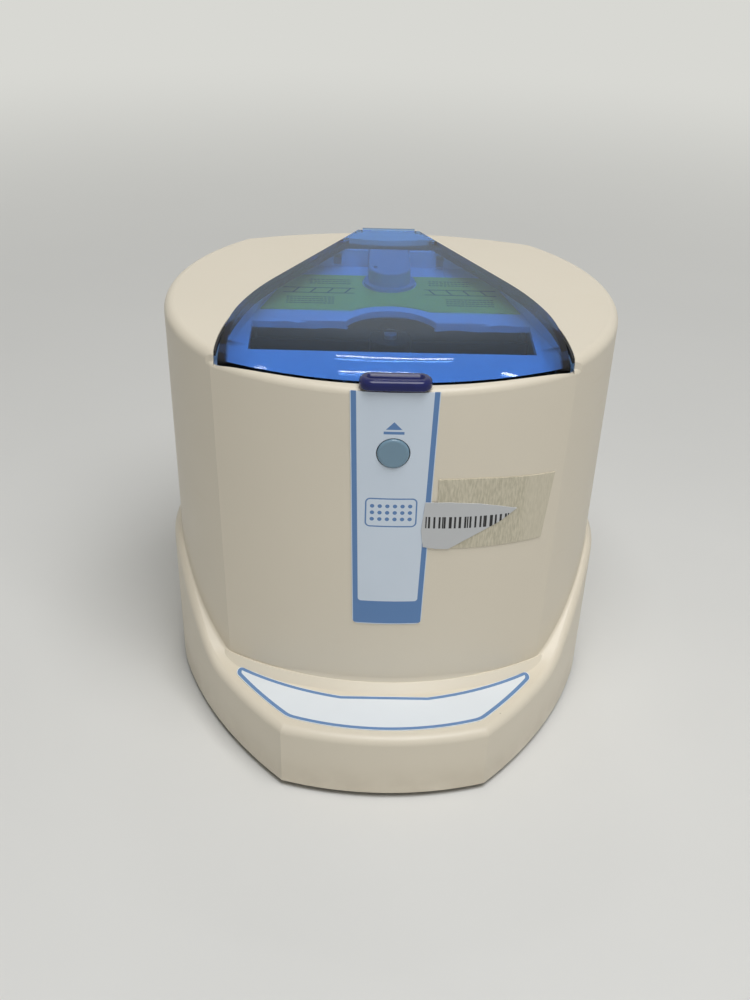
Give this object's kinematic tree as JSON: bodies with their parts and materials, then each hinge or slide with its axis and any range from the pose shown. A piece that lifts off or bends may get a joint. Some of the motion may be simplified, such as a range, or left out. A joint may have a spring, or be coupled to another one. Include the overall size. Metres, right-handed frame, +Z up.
{
  "type": "microplate centrifuge",
  "caption": "Bench centrifuge for microplates: round cream housing on a base with a chin, hinged see-through blue lid, slotted deck and a rotor with upright pockets",
  "frame": {"origin": "on the bench plane under the middle of the footprint", "axes": "X to the object's own right hand side as seen from the front, Y from the chin to the back panel, Z up"},
  "size_m": [0.2116, 0.2258, 0.198],
  "materials": {
    "cream_plastic": "fine satin texture, cream",
    "clear_blue_plastic": "polished, see-through blue",
    "navy_plastic": "glossy dark navy",
    "deck_plastic": "satin, grey-blue",
    "grey_plastic": "satin grey",
    "white_plastic": "natural moulded plastic",
    "black_plastic": "satin black",
    "button_plastic": "grey-teal, lightly glossy",
    "black_rubber": "matt black",
    "sheet_steel": "grey powder coat",
    "panel_paint": "cream powder coat",
    "sheet_aluminium": "spun and brushed",
    "dark_aluminium": "black anodised",
    "bright_steel": "ground",
    "zinc_steel": "zinc plated",
    "magnet_grey": "plated magnet and laminations",
    "brass_metal": "nickel-plated brass",
    "green_board": "green solder mask",
    "fuse_glass": "clear tube with metal caps",
    "panel_film": "pale blue-white printed film with a blue edge",
    "yellow_label": "yellow-green printed film",
    "paper_label": "grey-white printed paper",
    "paper_tape": "creped paper tape"
  },
  "bodies": {
    "case": {"upper_housing": "cream_plastic", "base_housing": "cream_plastic", "bottom_plate": "sheet_steel", "rubber_feet": "black_rubber", "foot_screws": "zinc_steel", "housing_screws": "zinc_steel", "lid_gasket": "black_rubber", "hinge_pin": "bright_steel", "hinge_springs": "bright_steel", "chamber_cover": "deck_plastic", "rear_tower": "grey_plastic", "tower_screw": "zinc_steel", "deck_label": "yellow_label", "rotor_chamber": "sheet_aluminium", "deck_screws": "zinc_steel", "motor_can": "sheet_steel", "motor_cap": "sheet_aluminium", "motor_plate": "sheet_steel", "motor_stator": "magnet_grey", "motor_bearings": "bright_steel", "motor_dampers": "black_rubber", "motor_screws": "zinc_steel", "control_board": "green_board", "board_parts": "black_plastic", "board_standoffs": "brass_metal", "board_screws": "zinc_steel", "power_supply": "sheet_aluminium", "latch_bracket": "white_plastic", "latch_screws": "zinc_steel", "latch_spring": "bright_steel", "lid_sensor": "black_plastic", "rear_panel": "panel_paint", "mains_inlet": "black_plastic", "inlet_pins": "brass_metal", "switch_frame": "black_plastic", "panel_screws": "zinc_steel", "front_panel": "panel_film", "base_label": "panel_film", "asset_label": "paper_label", "masking_tape": "paper_tape"},
    "lid": {"lid": "clear_blue_plastic", "lid_hinge_block": "cream_plastic", "lid_handle": "navy_plastic", "lid_strike": "white_plastic", "lid_magnet": "magnet_grey"},
    "button": {"open_button": "button_plastic"},
    "latch": {"latch_slide": "white_plastic"},
    "rotor": {"rotor_hub": "dark_aluminium", "plate_carrier_front": "black_plastic", "plate_carrier_rear": "black_plastic", "carrier_screws": "zinc_steel", "rotor_screw": "zinc_steel", "motor_shaft": "bright_steel", "motor_magnet": "magnet_grey"},
    "rocker": {"switch_rocker": "black_plastic"},
    "fuse_holder": {"fuse_drawer": "black_plastic", "fuse": "fuse_glass"}
  },
  "joints": [
    {"name": "lid_hinge", "type": "hinge", "parent": "case", "child": "lid", "pos_m": [0, 0.1009, 0.193], "axis": [-1, 0, 0], "range_deg": [0, 75]},
    {"name": "button_press", "type": "slide", "parent": "case", "child": "button", "axis": [0, 1, 0], "range_m": [0, 0.003], "stiffness_N_per_m": 400},
    {"name": "latch_travel", "type": "slide", "parent": "case", "child": "latch", "axis": [-1, 0, 0], "range_m": [0, 0.003]},
    {"name": "rotor_spin", "type": "hinge", "parent": "case", "child": "rotor", "pos_m": [0, 0.0139, 0.1], "axis": [0, 0, 1], "continuous": true},
    {"name": "rocker_tilt", "type": "hinge", "parent": "case", "child": "rocker", "pos_m": [0.017, 0.1055, 0.036], "axis": [-1, 0, 0], "range_deg": [0, 24]},
    {"name": "fuse_drawer_pull", "type": "slide", "parent": "case", "child": "fuse_holder", "axis": [0, 1, 0], "range_m": [0, 0.012]}
  ],
  "couplings": [
    {"joint": "latch_travel", "follows": "button_press", "ratio": 1}
  ]
}
